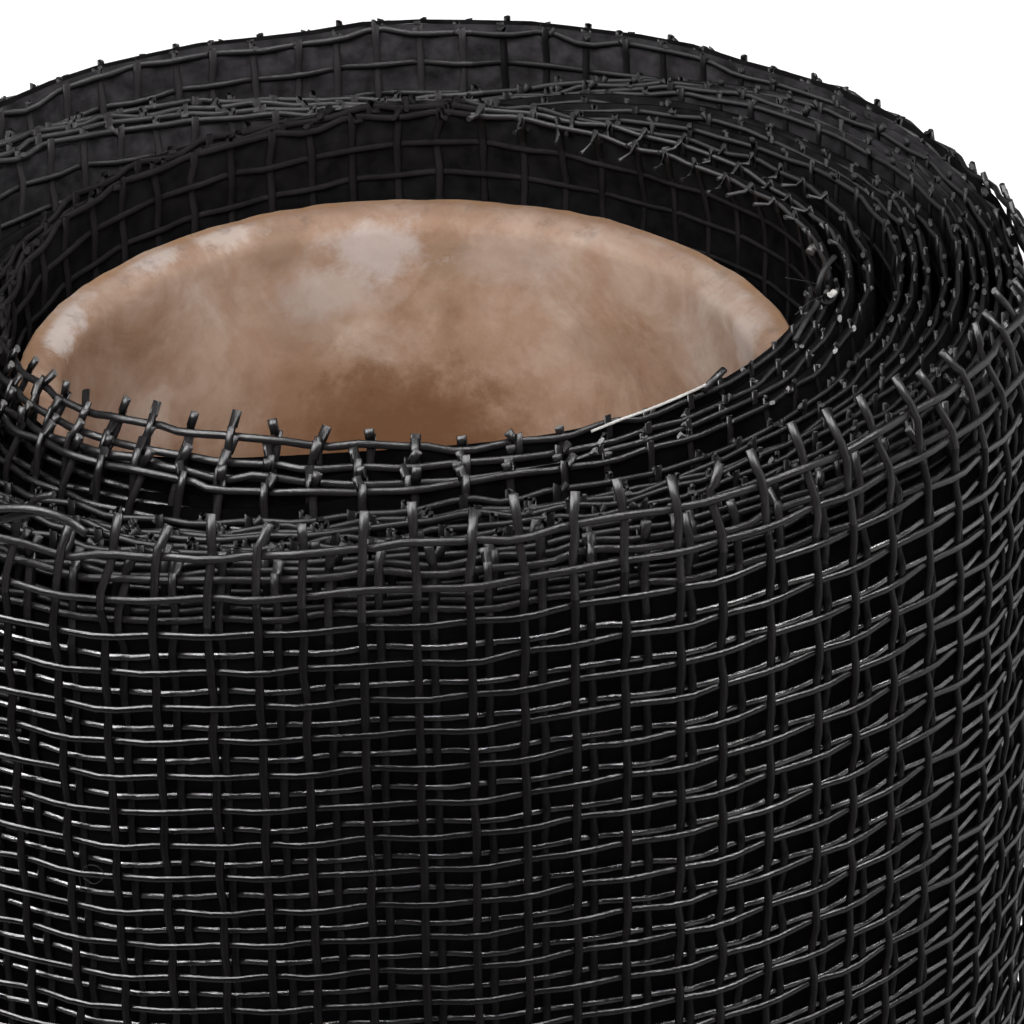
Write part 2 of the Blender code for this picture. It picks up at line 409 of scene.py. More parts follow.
def finishAt(weft, drop, standing):
    # Material slot of the upright yarns, if standing, or of those that go round; lighter and darker copies of
    # the yarn paint light and shade by side of the roll and depth
    turns, leftBack, rightBack, inFront = sideAt(weft)
    zones = finishZones
    inner = turns < zones["innerUntil"]
    insideOuter = turns < zones["outer"]
    between = (turns > zones["innerUntil"]) & (turns < zones["second"])
    second = (turns > zones["second"]) & insideOuter
    feather = rightBack & inner  # the tips that fall inward at the back right
    # Painted shade: the shaded yarn, nearly without gloss, stands deep among the inner turns at the back left
    # and below the fallen tips at the back right
    deep = leftBack & (turns < zones["middleUntil"]) | feather & (drop > zones["featherDepth"])
    # Painted shade: the second turn's uprights, behind the outer turn, take the dim yarn
    if standing:
        usual = np.where(second, slotOf["dimYarn"], slotOf["dullYarn"])
    else:
        usual = np.where(second, slotOf["glintYarn"], slotOf["blackYarn"])
    # Painted light: the lighter yarn of the worn cut edge is also put all over the back left and down the
    # inner turns in front
    paintedLitInside = inFront & inner & (drop < zones["paintedLitInside"])
    wornAndPaintedLit = (drop < cloth["wornAndPaintedLitDepth"]) | leftBack & insideOuter | paintedLitInside
    usual = np.where(wornAndPaintedLit, slotOf["wornAndPaintedLitYarn"], usual)
    # Painted light: at the back left the uprights are painted a paler grey
    if standing:
        paintedLitUprights = leftBack & (turns > zones["middleUntil"]) & insideOuter & (drop < zones["paintedLitDepth"])
        usual = np.where(paintedLitUprights, slotOf["paintedLitYarn"], usual)
    # Painted shade: the dim yarn also stands between the groups of turns and below the fallen tips
    dimFeather = feather & (drop > zones["featherTips"]) & (standing | (turns > zones["featherRows"]))
    dim = between & ~leftBack | dimFeather
    return np.where(deep, slotOf["shadedYarn"], np.where(dim, slotOf["dimYarn"], usual))


def capAt(weft):
    # Material slot of the cut ends: pale in front and dim at the back, painted light and shade on one kind of
    # cut end, or 0 for the same as the rest of the yarn
    turns, leftBack, rightBack, inFront = sideAt(weft)
    pale = inFront & ((turns < finishZones["paleCaps"][0]) | (turns > finishZones["paleCaps"][1]))
    dim = rightBack | leftBack & (turns > finishZones["dimCaps"])
    return np.where(pale, slotOf["cutEnd"], np.where(dim, slotOf["dimEnd"], 0))


streakStarts = 50  # mm over which the yarns' streaks are shifted, so that each has its own


def tubes(points, out, wide, thick, sides, wearAndPaintedLight, dull, finish, startCap=0, endCap=0):
    # Closed tubes along rows of points, flattened against the cloth
    along = np.gradient(points, axis=1)
    along /= np.linalg.norm(along, axis=-1, keepdims=True)
    across = np.cross(along, out)
    across /= np.linalg.norm(across, axis=-1, keepdims=True)
    outward = np.cross(across, along)
    count, steps = points.shape[:2]
    wide = np.broadcast_to(wide, (count, steps)) * mm
    thick = np.broadcast_to(thick, (count, steps)) * mm
    turn = 2 * math.pi * np.arange(sides) / sides
    ring = (outward[:, :, None] * (thick[..., None] * np.cos(turn))[..., None]
            + across[:, :, None] * (wide[..., None] * np.sin(turn))[..., None])
    vertices = (points[:, :, None] + ring).reshape(-1, 3)
    lengths = np.linalg.norm(np.diff(points, axis=1), axis=-1)
    run = np.concatenate([np.zeros((count, 1)), np.cumsum(lengths, 1)], 1)
    run = run / mm + draw.random((count, 1)) * streakStarts
    place = np.stack(np.broadcast_arrays(np.cos(turn), np.sin(turn), run[:, :, None]), -1).reshape(-1, 3)
    wornAndPaintedLit, dulled, finished = (
        np.broadcast_to(np.broadcast_to(value, (count, steps))[..., None], (count, steps, sides)).ravel()
        for value in (wearAndPaintedLight, dull, finish))
    start = (np.arange(count) * steps * sides)[:, None, None]
    step = (np.arange(steps - 1) * sides)[None, :, None]
    side = np.arange(sides)[None, None, :]
    after = (side + 1) % sides
    low = start + step
    quads = np.stack([low + side, low + after, low + sides + after, low + sides + side], -1).reshape(-1, 4)
    first = (start[:, :, 0] + np.arange(sides)[None, ::-1]).reshape(-1, sides)
    last = (start[:, :, 0] + (steps - 1) * sides + np.arange(sides)[None]).reshape(-1, sides)
    return {"vertices": vertices, "quads": quads, "caps": [(first, startCap), (last, endCap)],
            "place": place, "wearAndPaintedLight": wornAndPaintedLit, "dull": dulled, "finish": finished}


def joinedMesh(name, parts, materials):
    # One object from many tubes
    vertices = np.concatenate([p["vertices"] for p in parts])
    starts = np.cumsum([0] + [len(p["vertices"]) for p in parts])
    corners, sizes, slots, flat = [], [], [], []
    for part, start in zip(parts, starts):
        caps = [(faces, slot, True) for faces, slot in part["caps"]]
        for faces, slot, isFlat in [(part["quads"], 0, False)] + caps:
            corners.append((faces + start).ravel())
            sizes.append(np.full(len(faces), faces.shape[1]))
            slots.append(np.where(np.ravel(slot) > 0, np.ravel(slot), part["finish"][faces[:, 0]]))
            flat.append(np.full(len(faces), isFlat))
    corners, sizes, slots, flat = (np.concatenate(x) for x in (corners, sizes, slots, flat))
    mesh = bpy.data.meshes.new(name)
    mesh.vertices.add(len(vertices))
    mesh.vertices.foreach_set("co", vertices.astype(np.float32).ravel())
    mesh.loops.add(len(corners))
    mesh.loops.foreach_set("vertex_index", corners.astype(np.int32))
    mesh.polygons.add(len(sizes))
    mesh.polygons.foreach_set("loop_start", np.concatenate([[0], np.cumsum(sizes)[:-1]]).astype(np.int32))
    mesh.polygons.foreach_set("material_index", slots.astype(np.int32))
    mesh.polygons.foreach_set("use_smooth", ~flat)
    mesh.update(calc_edges=True)
    mesh.validate()
    places = np.concatenate([p["place"] for p in parts]).astype(np.float32)
    mesh.attributes.new("yarnPlace", "FLOAT_VECTOR", "POINT").data.foreach_set("vector", places.ravel())
    for attribute, key in (("paintedLightAndWear", "wearAndPaintedLight"), ("dullness", "dull")):
        values = np.concatenate([p[key] for p in parts]).astype(np.float32)
        mesh.attributes.new(attribute, "FLOAT", "POINT").data.foreach_set("value", values)
    for material in materials:
        mesh.materials.append(material)
    piece = bpy.data.objects.new(name, mesh)
    bpy.context.scene.collection.objects.link(piece)
    print(name, int((sizes - 2).sum()), "triangles")
    return piece


# Where each yarn strays from its even place, drawn once for the whole strip
weftShift = draw.normal(0, straying["weft"], weftCount + 4)
warpShift = draw.normal(0, straying["warp"], warpCount + 2)
strayWeft = draw.normal(0, 1, (warpCount + 2, weftCount + 4))
strayDrop = draw.normal(0, 1, (warpCount + 2, weftCount + 4))
tipReach = draw.uniform(-1, 1, weftCount + 4)
tipSwing = draw.normal(0, 1, (2, weftCount + 4))


def crossing(warp, weft):
    # Place along the strip and drop of a crossing, with its straying
    loose = 1 + straying["atEdge"] * np.exp(-warp / straying["edgeRows"])
    alongStrip = weft + weftShift[weft] + straying["along"] * loose * strayWeft[warp, weft]
    drop = cloth["firstRow"] + cloth["warpPitch"] * warp + warpShift[warp]
    return alongStrip, drop + straying["down"] * loose * strayDrop[warp, weft]


def over(warp, weft):
    # +1 where the upright yarn passes outside the one that goes round
    return 1 - 2.0 * ((warp + weft) % 2)


def waveAt(warp, weft):
    # How far the upright yarn lies outward at a crossing, and the one that goes round lies inward
    swing = cloth["wave"] * (1 + cloth["looseWave"] * np.exp(-warp / cloth["looseRows"]))
    return swing * over(warp, weft) * (1 - pressing["wave"] * pressedAt(weft))


# 1 at the cut edge, fading downward: there the yarns are paler, rougher and wider; the paleness is dust and
#                                     painted light from above
def edgeFadeAt(drop):
    return np.exp(-np.clip(drop, 0, None) / cloth["wornAndPaintedLitDepth"])


def upright(first, last, warps, fineWarps, sides, toFoot=False, fromWarp=0):
    # The weft yarns of a stretch of the strip, from their cut tips down over some warps
    weft = np.arange(first, last)[:, None]
    warp = np.arange(fromWarp, fromWarp + warps)[None, :]
    place, drop = crossing(warp, weft)
    pressed = pressedAt(weft)
    lift = waveAt(warp, weft)
    reach = cloth["overReach"] * cloth["warpPitch"]
    placeRuns, dropRuns, liftRuns = [], [], []
    tipIn = fromWarp == 0
    if tipIn:
        turns = turnsAt(weft)
        length = tipLengths(turns, angleAt(turns))
        tip = cloth["firstRow"] - length * (1 + tips["lengthSpread"] * tipReach[weft])
        swing = tips["swing"] * tipSwing[0][weft]
        flop = byTurn([tableAt("innerFlop", angleAt(turns)), 0, 0, 0, 0], turns)
        inward = flop * (cloth["firstRow"] - tip)
        tip = tip + tips["flopDrop"] * inward * (1 + tips["flopSpread"] * tipSwing[1][weft])
        placeRuns += [place[:, :1] + swing * share for share in tips["swingShares"]]
        dropRuns += [tip, tips["lower"] * (tip + drop[:, :1])]
        tipOut, lowerOut = (reached * tipSwing[1][weft] for reached in tips["outward"])
        liftRuns.append(tipOut - inward)
        liftRuns.append(lowerOut + tips["waveShare"] * lift[:, :1] - tips["flopShare"] * inward)
    for k in range(warps):
        here = slice(k, k + 1)
        for side in (-1, 1) if k < fineWarps else (0,):
            placeRuns.append(place[:, here])
            dropRuns.append(drop[:, here] + side * reach)
            liftRuns.append(lift[:, here])
    placeRuns.append(place[:, -1:])
    liftRuns.append(np.zeros_like(place[:, -1:]))
    if toFoot:
        dropRuns.append(clothWidth - tips["footGap"] - tips["footSpread"] * tipReach[weft])
    else:
        dropRuns.append(drop[:, -1:] + cloth["pastRow"] * cloth["warpPitch"])
    places, drops, lifts = (np.concatenate(x, 1) for x in (placeRuns, dropRuns, liftRuns))
    points, out = clothPlace(places, drops, lifts)
    wide = np.full(places.shape, cloth["weftHalfWide"]) * (1 - pressing["width"] * pressed)
    thick = cloth["halfThick"] * (1 - pressing["thickness"] * pressed)
    if tipIn:
        wide[:, :2] *= tips["width"] - tips["flopThin"] * flop
    return tubes(points, out, wide, thick, sides, edgeFadeAt(drops), dullAt(places),
                 finishAt(places, drops, True), capAt(weft) if tipIn else 0, int(toFoot))


def rowEnd(end, warps, lastDrop):
    # The loose ends of some warps: how far they reach, their drop and their lift
    reach, dropSpread, liftSpread = rowEnds[end]
    reached = draw.uniform(*reach, (warps, 1))
    endDrop = lastDrop + draw.normal(0, dropSpread, (warps, 1))
    return reached, endDrop, draw.normal(0, liftSpread, (warps, 1))


def roundTheRoll(first, last, warps, steps, sides, fromWarp=0):
    # The warp yarns of a stretch of the strip, with one or two points at each crossing
    weft = np.arange(first, last + (last < weftCount))[None, :]
    warp = np.arange(fromWarp, fromWarp + warps)[:, None]
    place, drop = crossing(warp, weft)
    lift = -waveAt(warp, weft)
    if steps == 2:
        reach = cloth["overReach"]
        place = np.stack([place - reach, place + reach], -1).reshape(warps, -1)
        drop, lift = np.repeat(drop, 2, 1), np.repeat(lift, 2, 1)
    if first == 0:
        reached, endDrop, endLift = rowEnd("inner", warps, drop[:, :1])
        place = np.concatenate([place[:, :1] - reached, place], 1)
        drop = np.concatenate([endDrop, drop], 1)
        lift = np.concatenate([endLift, lift], 1)
    if last >= weftCount:
        reached, endDrop, endLift = rowEnd("outer", warps, drop[:, -1:])
        place = np.concatenate([place, place[:, -1:] + reached], 1)
        drop = np.concatenate([drop, endDrop], 1)
        lift = np.concatenate([lift, endLift], 1)
    points, out = clothPlace(place, drop, lift)
    pressed = pressedAt(place)
    wide = cloth["warpHalfWide"] * (1 + cloth["warpSwell"] * edgeFadeAt(drop))
    wide = wide * (1 - pressing["width"] * pressed)
    thick = cloth["halfThick"] * (1 - pressing["thickness"] * pressed)
    return tubes(points, out, wide, thick, sides, edgeFadeAt(drop), dullAt(place),
                 finishAt(place, drop, False), int(first == 0), int(last >= weftCount))


# Finishes of the yarns: body from dark to light, dust and painted light towards the cut edge (on deepCloth,
# the sheet's painted paleness), roughness, its gain where dull, bump and specular level
yarnFinishes = {
    "blackYarn": ((0.0018, 0.0015, 0.0017), (0.0040, 0.0032, 0.0035), (0.0075, 0.0069, 0.0072),
                  0.10, 0.32, 0.22, 0.5),
    "cutEnd": ((0.030, 0.029, 0.029), (0.10, 0.096, 0.092), (0.14, 0.134, 0.128), 0.30, 0.2, 0.3, 0.5),
    "dimEnd": ((0.006, 0.0057, 0.0059), (0.013, 0.0124, 0.0127), (0.016, 0.0152, 0.0156),
               0.36, 0.2, 0.3, 0.14),
    "shadedYarn": ((0.0060, 0.0053, 0.0058), (0.0190, 0.0168, 0.0180), (0.021, 0.0190, 0.0200),
                   0.34, 0.2, 0.1, 0.02),
    "wornAndPaintedLitYarn": ((0.0040, 0.0034, 0.0037), (0.0095, 0.0082, 0.0088), (0.020, 0.018, 0.019),
                 0.16, 0.26, 0.25, 0.30),
    "deepCloth": ((0.0015, 0.0014, 0.0015), (0.003, 0.0028, 0.003), (0.046, 0.0432, 0.046),
                  0.7, 0.0, 0.2, 0.0),
    "dullYarn": ((0.0026, 0.0021, 0.0023), (0.0052, 0.0043, 0.0046), (0.009, 0.0082, 0.0086),
                 0.26, 0.2, 0.2, 0.15),
    "glintYarn": ((0.0024, 0.0020, 0.0022), (0.0052, 0.0042, 0.0046), (0.010, 0.0092, 0.0096),
                  0.08, 0.3, 0.25, 1.0),
    "dimYarn": ((0.0026, 0.0022, 0.0024), (0.0062, 0.0054, 0.0058), (0.0105, 0.0096, 0.0100),
                0.28, 0.2, 0.2, 0.18),
    # a paler grey yarn: painted light at the back left
    "paintedLitYarn": ((0.016, 0.0145, 0.0155), (0.034, 0.031, 0.033), (0.040, 0.037, 0.039),
                 0.34, 0.2, 0.2, 0.2),
    # a whitish yarn among the loose ends
    "whitishYarn": ((0.28, 0.265, 0.25), (0.62, 0.60, 0.57), (0.5, 0.48, 0.45), 0.25, 0.0, 0.2, 0.5),
}
glintRefraction = 1.8

# What the yarns' shader group draws: its noises with scale, detail and roughness
coating = {
    "stretch": (2.2, 2.2, 0.9),  # of streaks and strands, round a yarn and along it in mm
    "streaks": (1.6, 3.0, 0.6),
    "strands": (5.5, 2.0, 0.5),
    "patches": (420.0, 4.0, 0.62),
    "patchTone": ((0.35, 0.0), (0.68, 1.0)),
    "dustAndPaintedLightTone": ((0.30, 0.25), (0.70, 1.0)),
    "streakRoughness": 0.12,
    "wornRoughness": 0.12,
    "strandHeight": 0.5,
    "relief": 0.00008,  # m
}


def newMaterial(name):
    material = bpy.data.materials.new(name)
    material.use_nodes = True
    return material, material.node_tree.nodes["Principled BSDF"]


def addNode(tree, kind, **values):
    node = tree.nodes.new(kind)
    for key, value in values.items():
        if key in node.inputs:
            node.inputs[key].default_value = value
        else:
            setattr(node, key, value)
    return node


def rampNode(tree, factor, stops):
    ramp = tree.nodes.new("ShaderNodeValToRGB")
    while len(ramp.color_ramp.elements) < len(stops):
        ramp.color_ramp.elements.new(0.5)
    for element, (place, colour) in zip(ramp.color_ramp.elements, stops):
        element.position = place
        element.color = (*colour, 1.0) if hasattr(colour, "__len__") else (colour, colour, colour, 1.0)
    tree.links.new(factor, ramp.inputs[0])
    return ramp.outputs[0]


def coatedYarnGroup():
    # Streaks along the coated yarn, dull patches, and dust with painted light from above towards the cut
    # edge; on the deep sheet the same tone is painted paleness
    group = bpy.data.node_groups.new("coatedYarn", "ShaderNodeTree")
    link = group.links.new
    for name in ("dark", "light", "dustAndPaintedLight"):
        group.interface.new_socket(name, in_out="INPUT", socket_type="NodeSocketColor")
    for name in ("base roughness", "dull roughness"):
        group.interface.new_socket(name, in_out="INPUT", socket_type="NodeSocketFloat")
    group.interface.new_socket("colour", in_out="OUTPUT", socket_type="NodeSocketColor")
    for name in ("roughness", "height"):
        group.interface.new_socket(name, in_out="OUTPUT", socket_type="NodeSocketFloat")
    inside = addNode(group, "NodeGroupInput")
    outside = addNode(group, "NodeGroupOutput")

    def multiplyAdd(value, factor, added, clamp=False):
        node = addNode(group, "ShaderNodeMath", operation="MULTIPLY_ADD", use_clamp=clamp)
        link(value, node.inputs[0])
        if isinstance(factor, bpy.types.NodeSocket):
            link(factor, node.inputs[1])
        else:
            node.inputs[1].default_value = factor
        link(added, node.inputs[2])
        return node.outputs[0]

    def mixed(share, under, over):
        node = addNode(group, "ShaderNodeMix", data_type="RGBA")
        for socket, name in ((share, "Factor"), (under, "A"), (over, "B")):
            link(socket, node.inputs[name])
        return node.outputs["Result"]

    def attribute(name, output="Fac"):
        return addNode(group, "ShaderNodeAttribute", attribute_name=name).outputs[output]

    def noise(vector, scale, detail, roughness):
        node = addNode(group, "ShaderNodeTexNoise", Scale=scale, Detail=detail, Roughness=roughness)
        link(vector, node.inputs["Vector"])
        return node.outputs["Fac"]

    stretch = addNode(group, "ShaderNodeMapping")
    stretch.inputs["Scale"].default_value = coating["stretch"]
    link(attribute("yarnPlace", "Vector"), stretch.inputs["Vector"])
    streaks = noise(stretch.outputs[0], *coating["streaks"])
    where = addNode(group, "ShaderNodeTexCoord").outputs["Object"]
    patches = rampNode(group, noise(where, *coating["patches"]), coating["patchTone"])
    tone = mixed(patches, inside.outputs["dark"], inside.outputs["light"])
    wearAndPaintedLight = attribute("paintedLightAndWear")
    dustAndPaintedLightShare = addNode(group, "ShaderNodeMath", operation="MULTIPLY")
    link(rampNode(group, streaks, coating["dustAndPaintedLightTone"]), dustAndPaintedLightShare.inputs[0])
    link(wearAndPaintedLight, dustAndPaintedLightShare.inputs[1])
    link(mixed(dustAndPaintedLightShare.outputs[0], tone, inside.outputs["dustAndPaintedLight"]), outside.inputs["colour"])
    rough = multiplyAdd(streaks, coating["streakRoughness"], inside.outputs["base roughness"])
    dulled = multiplyAdd(attribute("dullness"), inside.outputs["dull roughness"], rough)
    link(multiplyAdd(wearAndPaintedLight, coating["wornRoughness"], dulled, clamp=True), outside.inputs["roughness"])
    strands = noise(stretch.outputs[0], *coating["strands"])
    link(multiplyAdd(strands, coating["strandHeight"], streaks), outside.inputs["height"])
    return group


def yarnMaterial(name, group, dark, light, dustAndPaintedLight, roughness, dullRoughness, bump, specular):
    material, shader = newMaterial(name)
    tree = material.node_tree
    made = tree.nodes.new("ShaderNodeGroup")
    made.node_tree = group
    for socket, colour in (("dark", dark), ("light", light), ("dustAndPaintedLight", dustAndPaintedLight)):
        made.inputs[socket].default_value = (*colour, 1.0)
    made.inputs["base roughness"].default_value = roughness
    made.inputs["dull roughness"].default_value = dullRoughness
    tree.links.new(made.outputs["colour"], shader.inputs["Base Color"])
    tree.links.new(made.outputs["roughness"], shader.inputs["Roughness"])
    shader.inputs["Specular IOR Level"].default_value = specular
    raised = addNode(tree, "ShaderNodeBump", Strength=bump, Distance=coating["relief"])
    tree.links.new(made.outputs["height"], raised.inputs["Height"])
    tree.links.new(raised.outputs[0], shader.inputs["Normal"])
    return material


coatedYarn = coatedYarnGroup()
yarnLooks = {name: yarnMaterial(name, coatedYarn, *finish) for name, finish in yarnFinishes.items()}
glintShader = yarnLooks["glintYarn"].node_tree.nodes["Principled BSDF"]
glintShader.inputs["IOR"].default_value = glintRefraction
clothMaterials = [yarnLooks[name] for name in yarnSlots]
print(len(yarnLooks), "yarn finishes")

# The pieces of the cloth from its outer turn inwards: turn where each starts, rows drawn finely, sides of the
# yarns in them and of the upright ones, and whether the yarns reach the foot
clothPieces = (
    ("outerTurn", 13.4, 16, 8, 6, True),
    ("secondTurn", 12.4, 12, 6, 6, True),
    ("thirdTurn", 11.4, 9, 6, 6, False),
    ("bandTurns", 7.4, 6, 6, 6, False),
    ("middleTurns", winding["innerTurns"], 6, 6, 6, False),
    ("innerTurns", 0.0, 7, 8, 8, False),
)
plainSides = 6
footRows = 3
footSides = 4

woven = []
last = weftCount
for name, fromTurn, fineRows, rowSides, uprightSides, toFoot in clothPieces:
    first = weftAt(fromTurn)
    yarns = [upright(first, last, warpCount if toFoot else fineRows, fineRows, uprightSides, toFoot=toFoot),
             roundTheRoll(first, last, fineRows, 2, rowSides)]
    if toFoot:
        yarns.append(roundTheRoll(first, last, warpCount - fineRows, 1, plainSides, fromWarp=fineRows))
        reachFoot = first
    woven.append(joinedMesh(name, yarns, clothMaterials))
    last = first
woven.append(joinedMesh("lowerEdge", [
    upright(0, reachFoot, footRows, 0, footSides, toFoot=True, fromWarp=warpCount - footRows),
    roundTheRoll(0, reachFoot, footRows, 1, footSides, fromWarp=warpCount - footRows),
], clothMaterials))


# The close-packed turns further in, as one thin spiral sheet; near-black and without gloss, it also paints
# the shade among them
deepSheet = {
    "from": 0.02,  # turns
    "to": 13.32,
    "outward": 0.2,  # mm that it lies outside the yarns of its turn at the back, and inside them in front
    "bottom": 1.6,
    "halfThick": 0.1,
    "stepsPerTurn": 60,
    "rowsHigh": 8,
    "outwardSlope": 3.0,
    "outwardFrom": 0.4,
    "flatTop": 4.2,  # its flat size is counted from this depth
    "patchScale": 0.3,  # its patches of painted paleness are larger than those of a yarn
    "pale": ((0.0, 0.22), (3.6, 0.1), (7.3, 0.6)),  # turns from which the back is painted paler by a share
    "paleTurns": 0.3,
    "paleBack": (0.1, 0.3),  # sine of the angle where the back starts, and over which it fades in
    "paleRight": (0.65, 0.25),  # cosine of the angle
    "rightShare": 0.2,
    "outerDark": (12.1, 0.8),
    "fillFrom": 12.0,  # below this depth its turns spread over the gaps between the groups of turns
    "fillOver": 18.0,
    "fillUntil": 74.0,
    "fillInner": (4.0, 3.5),  # turns that spread over the gap beside the inner turns
    "fillOuter": (7.0, 3.3),
}


def gapFill(turns, angle, drops):
    # How far outward a turn of the sheet moves into the gaps
    innerFrom, innerOver = deepSheet["fillInner"]
    outerFrom, outerOver = deepSheet["fillOuter"]
    notMoved = gapCrossed(turns) - smooth((turns - innerFrom) / innerOver)
    inward = tableAt("gap", angle) * (1 - pastInner(turns)) * notMoved
    evenOut = winding["secondOut"] * np.clip((turns - outerFrom) / outerOver, 0, 1)
    present = byTurn([0, 0, 0, winding["secondOut"], winding["secondOut"]], turns)
    moved = tableAt("outerOut", angle) * (evenOut - present) - inward
    depthShare = smooth((drops - deepSheet["fillFrom"]) / deepSheet["fillOver"])
    depthShare = depthShare * (1 - smooth((drops - deepSheet["fillUntil"]) / deepSheet["fillOver"]))
    return moved[:, None] * depthShare


def paintedLightShareAt(turns, angle):
    # Painted light and shade on the sheet: paler at the back, a little paler on the right, darker just inside
    # the outer turns
    back = sum(share * smooth((turns - fromTurn) / deepSheet["paleTurns"]) if fromTurn else share
               for fromTurn, share in deepSheet["pale"])
    backFrom, backOver = deepSheet["paleBack"]
    rightFrom, rightOver = deepSheet["paleRight"]
    darkFrom, darkShare = deepSheet["outerDark"]
    back = back * smooth((sineAt(angle) - backFrom) / backOver)
    right = deepSheet["rightShare"] * smooth((cosineAt(angle) - rightFrom) / rightOver)
    return np.maximum(back, right) * (1 - darkShare * smooth((turns - darkFrom) / deepSheet["paleTurns"]))


def spiralSheet(name):
    steps = int((deepSheet["to"] - deepSheet["from"]) * deepSheet["stepsPerTurn"]) + 1
    stops = np.linspace(deepSheet["from"], deepSheet["to"], steps)
    weft = np.interp(stops, turnGrid, stripGrid) / cloth["weftPitch"]
    rows = deepSheet["rowsHigh"]
    angle = angleAt(stops)
    columns = ("innerSheet", "middleSheet", "bandSheet", "outerSheet", "outerSheet")
    top = byTurn([tableAt(c, angle) for c in columns], stops)[:, None]
    downwards = np.linspace(0, 1, rows) ** 2  # its rows are closer near the edge
    drops = top + (clothWidth - deepSheet["bottom"] - top) * downwards
    besideYarns = np.clip(deepSheet["outwardSlope"] * sineAt(angle) + deepSheet["outwardFrom"], -1, 1)
    outward = deepSheet["outward"] * besideYarns[:, None] + gapFill(stops, angle, drops)
    inner, outer = (clothPlace(weft[:, None], drops, side * deepSheet["halfThick"] + outward)[0]
                    for side in (-1, 1))
    ring = np.concatenate([inner, outer[:, ::-1]], 1)  # down the inner side and up the outer
    around = ring.shape[1]
    side = np.arange(around)
    after = (side + 1) % around
    low = (np.arange(steps - 1) * around)[:, None]
    quads = np.stack([low + side, low + around + side, low + around + after, low + after], -1)
    capRows = np.arange(rows - 1)
    cap = np.stack([capRows, capRows + 1, around - 2 - capRows, around - 1 - capRows], -1)
    far = cap[:, ::-1] + (steps - 1) * around
    vertices = ring.reshape(-1, 3)
    along = np.repeat(weft * cloth["weftPitch"], around)
    down = np.concatenate([drops, drops[:, ::-1]], 1).ravel()
    sheet = {
        "vertices": vertices,
        "quads": quads.reshape(-1, 4),
        "caps": [(cap, 0), (far, 0)],
        "place": np.stack([along, down, np.zeros(len(along))], -1) * deepSheet["patchScale"],
        # the sheet's painted light and shade go in where the yarns' wear goes
        "wearAndPaintedLight": np.repeat(paintedLightShareAt(stops, angle), around),
        "dull": np.ones(len(vertices)),
        "finish": np.zeros(len(vertices), int),
    }
    return joinedMesh(name, [sheet], [yarnLooks["deepCloth"]])


woundCloth = spiralSheet("woundCloth")


# Ends that have come loose: path in mm from the outer turn's centre and the edge level, half width, steps and
# finish
frayed = (
    (((6.3, -14.15, -0.30), (7.4, -13.9, 0.05), (8.4, -13.3, 0.12), (9.5, -12.45, 0.16),
      (10.7, -11.4, 0.20)), 0.060, 24, "whitishYarn"),
    (((10.4, -11.7, 0.0), (10.9, -11.3, 0.35), (11.2, -10.9, 0.45)), 0.15, 8, "wornAndPaintedLitYarn"),
    (((14.0, -7.4, -0.2), (14.5, -6.4, 0.2), (15.0, -5.2, 0.35), (15.0, -5.3, 1.0), (15.25, -4.8, 1.5),
      (15.7, -3.9, 1.6)), 0.11, 26, "dimEnd"),
    (((15.0, -5.0, 0.4), (15.2, -4.6, 0.0), (15.6, -3.9, -0.3), (15.9, -3.2, -0.1), (15.8, -3.3, 0.35)),
     0.09, 22, "dimEnd"),
    (((15.55, -4.0, 0.05), (15.65, -3.85, 0.0), (15.75, -3.7, 0.05)), 0.13, 8, "whitishYarn"),
    (((15.1, -5.1, 1.0), (14.5, -5.6, 1.4), (13.7, -6.3, 1.9)), 0.022, 12, "dimEnd"),
    (((15.2, -5.2, 0.6), (14.6, -5.6, 0.5), (14.1, -6.0, 0.2)), 0.020, 12, "dimEnd"),
    (((15.3, 3.0, -1.5), (15.5, 3.2, -1.35), (15.7, 3.0, -1.3)), 0.20, 8, "cutEnd"),
    (((-15.4, -20.1, -0.1), (-14.6, -20.6, 0.3), (-14.0, -20.9, 0.6), (-12.9, -21.5, 0.9),
      (-11.8, -22.0, 0.8), (-11.0, -22.4, 0.4)), 0.17, 30, "wornAndPaintedLitYarn"),
    (((-15.2, -19.7, -0.9), (-14.0, -20.6, 0.0), (-12.6, -21.4, 0.7), (-11.4, -22.1, 0.6)),
     0.16, 24, "wornAndPaintedLitYarn"),
    (((-13.2, -20.9, 0.2), (-12.8, -21.2, 1.1), (-12.1, -21.6, 1.5)), 0.14, 12, "wornAndPaintedLitYarn"),
    (((-12.1, -22.1, -14.2), (-12.1, -22.15, -13.6), (-11.8, -22.35, -13.1), (-11.4, -22.55, -13.0),
      (-11.2, -22.6, -13.35), (-11.55, -22.45, -13.8), (-12.0, -22.2, -13.7)), 0.014, 36, "dimEnd"),
    (((-1.48, -24.4, -12.6), (-1.56, -24.5, -12.0), (-1.62, -24.4, -11.5)), 0.018, 12, "dimEnd"),
)
looseShape = {
    "finishes": ("whitishYarn", "wornAndPaintedLitYarn", "cutEnd", "dimEnd"),
    "thin": 0.8,  # thickness as a share of the width
    "outward": (0.0, -0.5, 0.87),
    "sides": 8,
    "wearAndPaintedLight": 0.6,
}


def smoothPath(stops, steps):
    # A curve through all the given points
    stops = np.array(stops, float)
    padded = np.concatenate([[2 * stops[0] - stops[1]], stops, [2 * stops[-1] - stops[-2]]])
    place = np.linspace(0, len(stops) - 1.0001, steps)  # ends just short of the last point
    low = place.astype(int)
    part = (place - low)[:, None]
    before, first, second, after = (padded[low + k] for k in range(4))
    square = 2 * before - 5 * first + 4 * second - after
    cubic = 3 * first - before - 3 * second + after
    return 0.5 * (2 * first + (second - before) * part + square * part**2 + cubic * part**3)


